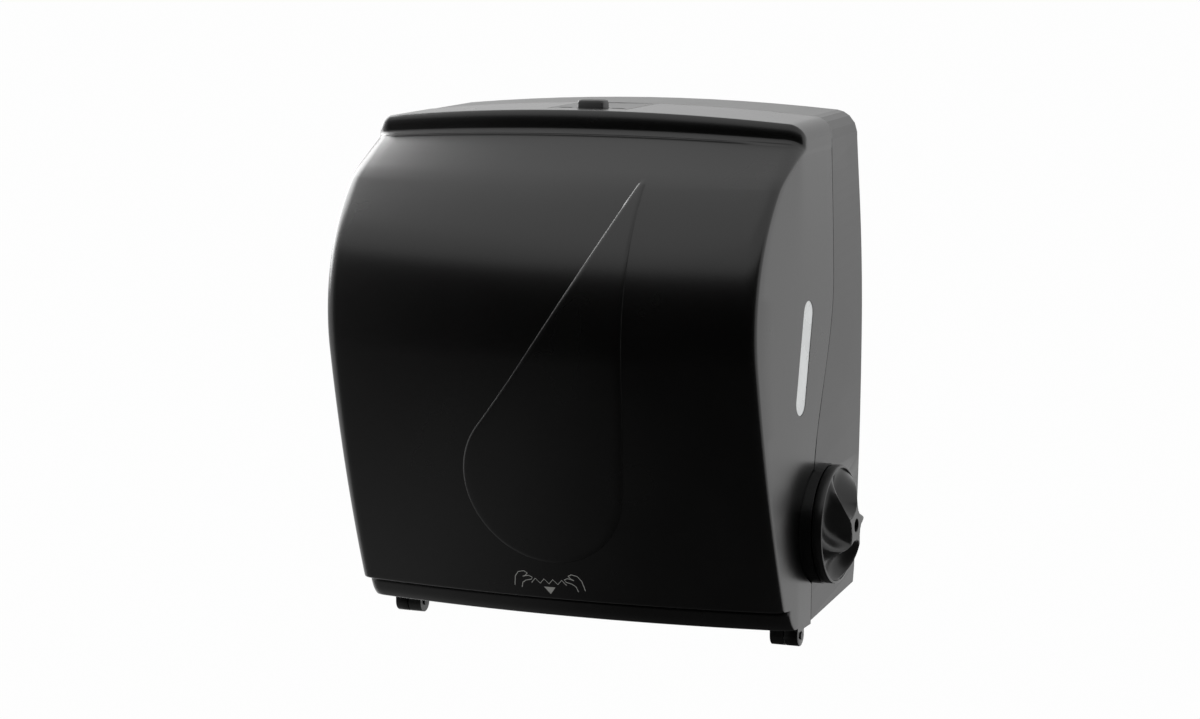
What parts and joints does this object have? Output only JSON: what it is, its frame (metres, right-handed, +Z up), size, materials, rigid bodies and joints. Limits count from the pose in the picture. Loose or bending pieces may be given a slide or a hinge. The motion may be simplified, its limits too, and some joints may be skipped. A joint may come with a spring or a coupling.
{
  "type": "hands-free paper towel dispenser",
  "caption": "Wall mounted mechanical towel dispenser with hinged front cover, feed knob, cutting drum, pinch roller, roll arms and push-button lock.",
  "frame": {"origin": "centre of the four wall screw holes, on the wall face", "axes": "+Y into the wall, -Y towards the user, +X to the right as the user sees it, +Z up"},
  "size_m": [0.3555, 0.2335, 0.3789],
  "materials": {
    "casing_plastic": "satin black moulded plastic",
    "cover_plastic": "polished smoked black plastic",
    "window_plastic": "clear frosted plastic",
    "inner_plastic": "grey moulded plastic",
    "drum_plastic": "dark grey moulded plastic",
    "hub_plastic": "light grey moulded plastic",
    "bush_plastic": "natural acetal",
    "knob_plastic": "black moulded plastic with a fine grain",
    "grip_rubber": "matt black rubber",
    "steel": "zinc plated steel",
    "spring_steel": "drawn spring wire",
    "blade_steel": "ground stainless steel"
  },
  "bodies": {
    "casing": {"back_casing": "casing_plastic", "cheek_left": "inner_plastic", "cheek_right": "inner_plastic", "tie_rods": "steel", "drum_bush_left": "bush_plastic", "drum_bush_right": "bush_plastic", "cam_track": "bush_plastic", "paper_guide": "inner_plastic", "spring_post": "steel", "roll_arm_left": "inner_plastic", "arm_pivot_pin": "steel", "latch_guide": "inner_plastic", "hinge_pins": "steel", "case_screws": "steel", "drum_spring": "spring_steel", "arm_spring": "spring_steel", "latch_spring": "spring_steel"},
    "cover": {"front_cover": "cover_plastic", "sight_window_left": "window_plastic", "sight_window_right": "window_plastic"},
    "drum": {"drum_shell_front": "drum_plastic", "drum_shell_rear": "drum_plastic", "drum_cap_left": "drum_plastic", "drum_cap_right": "drum_plastic", "grip_bands": "grip_rubber", "blade_pivots": "steel", "crank_disc": "drum_plastic", "crank_pin": "steel", "feed_knob": "knob_plastic", "knob_screw": "steel"},
    "blade": {"blade_carrier": "drum_plastic", "cutter_blade": "blade_steel"},
    "pinch_roller": {"pinch_shaft": "steel", "pinch_sleeves": "grip_rubber"},
    "right_arm": {"roll_arm_right": "inner_plastic"},
    "left_hub": {"roll_hub_left": "hub_plastic"},
    "right_hub": {"roll_hub_right": "hub_plastic"},
    "lock": {"lock_button": "knob_plastic", "latch_slider": "inner_plastic"}
  },
  "joints": [
    {"name": "cover_hinge", "type": "hinge", "parent": "casing", "child": "cover", "pos_m": [0, -0.108, -0.188], "axis": [1, 0, 0], "range_deg": [0, 100]},
    {"name": "button_press", "type": "slide", "parent": "casing", "child": "lock", "axis": [0, 0, -1], "range_m": [0, 0.004], "stiffness_N_per_m": 300, "springref_m": -0.003, "deforming": ["latch_spring"]},
    {"name": "drum_spin", "type": "hinge", "parent": "casing", "child": "drum", "pos_m": [0, -0.0848, -0.1108], "axis": [1, 0, 0], "continuous": true, "deforming": ["drum_spring"]},
    {"name": "blade_pivot", "type": "hinge", "parent": "drum", "child": "blade", "pos_m": [0, -0.05652, -0.10514], "axis": [1, 0, 0], "range_deg": [0, 20]},
    {"name": "pinch_roller_spin", "type": "hinge", "parent": "casing", "child": "pinch_roller", "pos_m": [0, -0.06075, -0.06914], "axis": [1, 0, 0], "continuous": true},
    {"name": "roll_arm_swing", "type": "hinge", "parent": "casing", "child": "right_arm", "pos_m": [0.118, -0.013, 0.045], "axis": [0, 0, 1], "range_deg": [0, 12], "stiffness_Nm_per_rad": 0.5, "springref_deg": -11.46, "deforming": ["arm_spring"]},
    {"name": "left_hub_spin", "type": "hinge", "parent": "casing", "child": "left_hub", "pos_m": [0, -0.108, 0.045], "axis": [1, 0, 0], "continuous": true},
    {"name": "right_hub_spin", "type": "hinge", "parent": "right_arm", "child": "right_hub", "pos_m": [0, -0.108, 0.045], "axis": [1, 0, 0], "continuous": true}
  ],
  "couplings": [
    {"joint": "pinch_roller_spin", "follows": "drum_spin", "ratio": -4.3}
  ]
}
